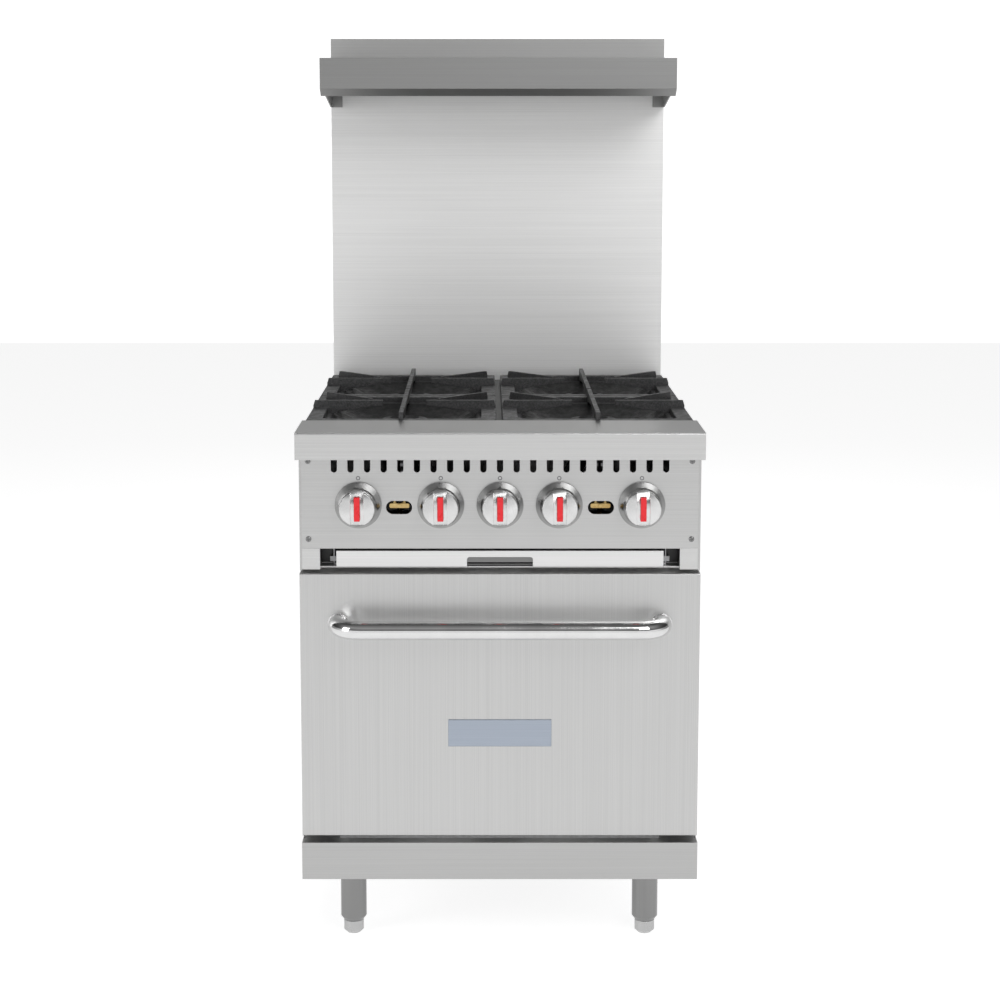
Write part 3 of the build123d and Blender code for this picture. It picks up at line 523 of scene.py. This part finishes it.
def finish_nodes():
    behind_panel = panel_low.y + panel_depth
    behind_dial = panel_low.y - knob_skirt
    # The stainless pieces are copies of one brushed finish with tones set piece by piece as painted light
    # and shade: darker on the shelf, legs and kick, brighter on the backguard and tray.
    sheet_x = brushed("steel_front", along_x, 0.66, 0.32)
    sheet_back = brushed("steel_backguard", along_x, 0.92, 0.46, 0.00006)
    sheet_back.node_tree.nodes["Principled BSDF"].inputs["Metallic"].default_value = backguard_metal
    # Painted shade: the backguard's front face is darkened above the shelf.
    darken(sheet_back, 0.52, [("Z", ABOVE, shelf_high.z), ("Y", BELOW, backguard_low.y + face_skin)])
    shelf_steel = brushed("steel_shelf", along_x, 0.34, 0.34)
    door_steel = brushed("steel_door", along_z, 0.68, 0.36, 0.00001)
    # Painted shade: the tray is darkened behind the panel's face, inside its recess.
    tray_steel = darken(brushed("steel_tray", along_x, 0.92, 0.34), 0.30, [("Y", ABOVE, behind_panel)])
    # Painted shade: the rail's top face is darker than its front.
    rail_steel = darken(brushed("steel_rail", along_x, 0.74, 0.32), 0.48,
                        [("Z", ABOVE, rail_high.z - rail_skin)])
    # Painted shade: the frame's recessed band behind the panel, above the ledge, is made nearly black.
    frame_steel = darken(brushed("steel_frame", along_x, 0.76, 0.32), 0.07,
                         [("Y", ABOVE, behind_panel), ("Z", ABOVE, ledge_level)])
    sheet_side = brushed("steel_side", along_y, 0.62, 0.34)
    round_steel = brushed("steel_legs", along_z, 0.32, 0.13)
    cover(sheet_x, ["control_panel"])
    cover(frame_steel, ["front_frame"])
    cover(brushed("steel_kick", along_x, 0.57, 0.32), ["kick_panel"])
    # Painted shade: the cooktop frame between the grates is brushed stainless made nearly black.
    cover(brushed("steel_cooktop", along_x, 0.07, 0.45), ["cooktop_frame"])
    cover(shelf_steel, ["high_shelf", "shelf_gussets"])
    cover(door_steel, ["door_skin"])
    cover(tray_steel, ["crumb_tray"])
    cover(rail_steel, ["front_rail"])
    cover(sheet_back, ["backguard"])
    cover(sheet_side, ["side_panel_left", "side_panel_right"])
    cover(round_steel, ["leg_tubes"])
    cover(polished("steel_feet", 0.62, 0.22),
          [f"foot_{row}_{side}" for row in ("front", "rear") for side in ("left", "right")])
    cover(polished("screw_steel", 0.30, 0.20), ["panel_screws"])
    cover(galvanised("zinc_sheet"), ["base_frame", "rear_panel", "flue_riser", "tray_rails",
                                     "hinge_brackets", "hinge_arms"])
    # Painted shade: the grates' bowls are darkened below the bowl level.
    grate_iron = darken(cast_iron("iron_grate", 0.055, 0.48), 0.16, [("Z", BELOW, bowl_shade_level)])
    cover(grate_iron, [f"grate_{end}_{side}" for end in ("front", "rear") for side in ("left", "right")])
    cover(cast_iron("iron_burner", 0.045, 0.58), ["burner_heads", "burner_bodies"])
    cover(enamel("oven_enamel"), ["oven_liner", "oven_floor", "door_liner"])
    cover(heated_steel("burner_steel"), ["oven_burner"])
    cover(polished("chrome_wire", 0.80, 0.14), ["rack_guides", "oven_racks"])
    cover(polished("chrome_handle", 0.86, 0.07), ["door_handle"])
    # Painted reflection: the knobs' chrome skirts behind the dials are darkened in place of the dark
    # reflections they would show.
    cover(darken(turned_chrome("chrome_knob"), 0.50, [("Y", ABOVE, behind_dial)]),
          [f"knob_{n}" for n in knob_numbers])
    cover(red_plastic("red_pointer"), [f"knob_{n}_insert" for n in knob_numbers])
    cover(brass("turned_brass"), [f"knob_{n}_stem" for n in knob_numbers] + ["gas_valves", "pilot_valves"])
    cover(heated_steel("tube_steel"), ["pilot_tubes"])
    cover(black_pipe("iron_pipe"), ["manifold_pipe"])
    cover(fibre("mineral_wool", (0.34, 0.28, 0.16), (0.66, 0.58, 0.40), 260),
          ["oven_insulation", "door_insulation"])
    cover(fibre("glass_fibre_seal", (0.10, 0.10, 0.10), (0.32, 0.32, 0.31), 700), ["door_gasket"])
    cover(anodised("blank_plate"), ["door_badge"])


# ---------------------------------------------------------------------------
# Small pieces on the sheet metal
# ---------------------------------------------------------------------------

def new_object(name, build, material, body):
    """A piece made by filling a bmesh, with its material, riding on a body."""
    mesh = bpy.data.meshes.new(name)
    work = bmesh.new()
    build(work)
    bmesh.ops.recalc_face_normals(work, faces=work.faces)
    work.to_mesh(mesh)
    work.free()
    mesh.materials.append(material)
    mesh.shade_smooth()
    mesh.set_sharp_from_angle(angle=math.radians(35))
    piece = bpy.data.objects.new(name, mesh)
    bpy.context.scene.collection.objects.link(piece)
    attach(piece, body)


def add_revolved(work, profile, centre, axis, steps=40):
    """Turn an open (radius, height) profile about an axis through centre. Ends on the axis close it."""
    turn = Vector((0, 0, 1)).rotation_difference(Vector(axis)).to_matrix()
    rings = []
    for radius, height in profile:
        if radius < 1e-7:
            rings.append([work.verts.new(turn @ Vector((0, 0, height)) + Vector(centre))])
            continue
        ring = []
        for i in range(steps):
            angle = 2 * math.pi * i / steps
            spot = Vector((radius * math.cos(angle), radius * math.sin(angle), height))
            ring.append(work.verts.new(turn @ spot + Vector(centre)))
        rings.append(ring)
    for lower, upper in zip(rings, rings[1:]):
        for i in range(steps):
            j = (i + 1) % steps
            if len(lower) == 1:
                work.faces.new((lower[0], upper[i], upper[j]))
            elif len(upper) == 1:
                work.faces.new((lower[i], lower[j], upper[0]))
            else:
                work.faces.new((lower[i], lower[j], upper[j], upper[i]))


def add_torus(work, centre, axis, radius, thickness, steps=40, sides=10):
    """A closed ring."""
    turn = Vector((0, 0, 1)).rotation_difference(Vector(axis)).to_matrix()
    rows = []
    for i in range(steps):
        around = 2 * math.pi * i / steps
        row = []
        for k in range(sides):
            section = 2 * math.pi * k / sides
            reach = radius + thickness * math.cos(section)
            spot = Vector((reach * math.cos(around), reach * math.sin(around),
                           thickness * 0.35 * math.sin(section)))
            row.append(work.verts.new(turn @ spot + Vector(centre)))
        rows.append(row)
    for i in range(steps):
        for k in range(sides):
            a, b = rows[i], rows[(i + 1) % steps]
            m = (k + 1) % sides
            work.faces.new((a[k], b[k], b[m], a[m]))


def ink(name):
    """Worn grey screen-printing ink."""
    finish = Finish(name, (0.12, 0.12, 0.13), 0.0, 0.6)
    wear = finish.noise((900, 900, 900), 3.0)
    finish.to("Base Color", finish.ramp(wear, (0.07, 0.07, 0.08), (0.22, 0.22, 0.23)))
    finish.bump(wear, 0.00002, 0.4)
    return finish.material


def add_off_marks(material):
    """A small printed ring above each knob shows its off position."""
    for number in knob_numbers:
        low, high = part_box(f"knob_{number}")
        x, z = (low.x + high.x) / 2, (low.z + high.z) / 2 + off_mark_height

        def build(work):
            add_torus(work, (x, panel_low.y - ink_lift, z), (0, -1, 0), off_mark_radius, off_mark_line)

        new_object(f"off_mark_{number}", build, material, chassis)


def add_bolt_heads(name, places, axis, radius, material, body):
    """Domed hex-washer heads, all in one piece."""
    washer = [(radius * 1.5, 0), (radius * 1.5, radius * 0.16), (radius * 1.42, radius * 0.24),
              (radius * 1.02, radius * 0.26), (0, radius * 0.26)]
    hexagon = [(radius, radius * 0.2), (radius, radius * 0.72), (radius * 0.86, radius * 0.84),
               (0, radius * 0.84)]

    def build(work):
        for centre in places:
            add_revolved(work, washer, centre, axis, 32)
            add_revolved(work, hexagon, centre, axis, 6)

    new_object(name, build, material, body)


def add_fasteners(material):
    """Sheet-metal screws on the rear panel and the leg flanges."""
    low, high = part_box("rear_panel")
    rear = backguard_high.y
    edge = screw_edge
    rows = [low.z + edge + i * (high.z - low.z - 2 * edge) / 4 for i in range(5)]
    places = [(x, rear, z) for x in (low.x + edge, high.x - edge) for z in rows]
    places += [(x, rear, low.z + edge) for x in bottom_screws]
    add_bolt_heads("rear_screws", places, (0, 1, 0), screw_radius, material, chassis)
    legs_low, legs_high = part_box("leg_tubes")
    under = legs_high.z - flange_thickness
    corners = (bolt_inset, leg_flange - bolt_inset)
    bolts = [(x + dx, y + dy, under) for x in (legs_low.x, legs_high.x - leg_flange)
             for y in (legs_low.y, legs_high.y - leg_flange) for dx in corners for dy in corners]
    add_bolt_heads("leg_bolts", bolts, (0, 0, -1), bolt_radius, material, chassis)


def hood_row(work, x, z, end, depth):
    """The points down one edge of a hood: at its left or right end, flat on the panel or standing out."""
    row = []
    for i in range(hood_steps + 1):
        turn = i / hood_steps * math.pi / 2
        across = x + end * (louvre_half + hood_overlap * (1 - depth))
        out = backguard_high.y + hood_lift + hood_reach * math.sin(turn) * depth
        level = z + hood_rise - (hood_rise + hood_drop) * (1 - math.cos(turn))
        row.append(work.verts.new((across, out, level)))
    return row


def add_louvre_hoods(material):
    """A pressed hood over each cooling slot in the rear panel, closed at its top and ends."""
    def build(work):
        for x in louvre_columns:
            for z in louvre_rows:
                edges = ((-1, 0.0), (-1, 1.0), (1, 1.0), (1, 0.0))
                rows = [hood_row(work, x, z, end, depth) for end, depth in edges]
                for first, second in zip(rows, rows[1:]):
                    for i in range(hood_steps):
                        work.faces.new((first[i], first[i + 1], second[i + 1], second[i]))

    new_object("louvre_hoods", build, material, chassis)


def add_details():
    screw_metal = polished("fastener_steel", 0.68, 0.2)
    add_off_marks(ink("print_ink"))
    add_fasteners(screw_metal)
    add_louvre_hoods(galvanised("zinc_hoods"))


smooth_shading()
finish_nodes()
add_details()
add_floor()
add_world()
add_lights()
add_camera()
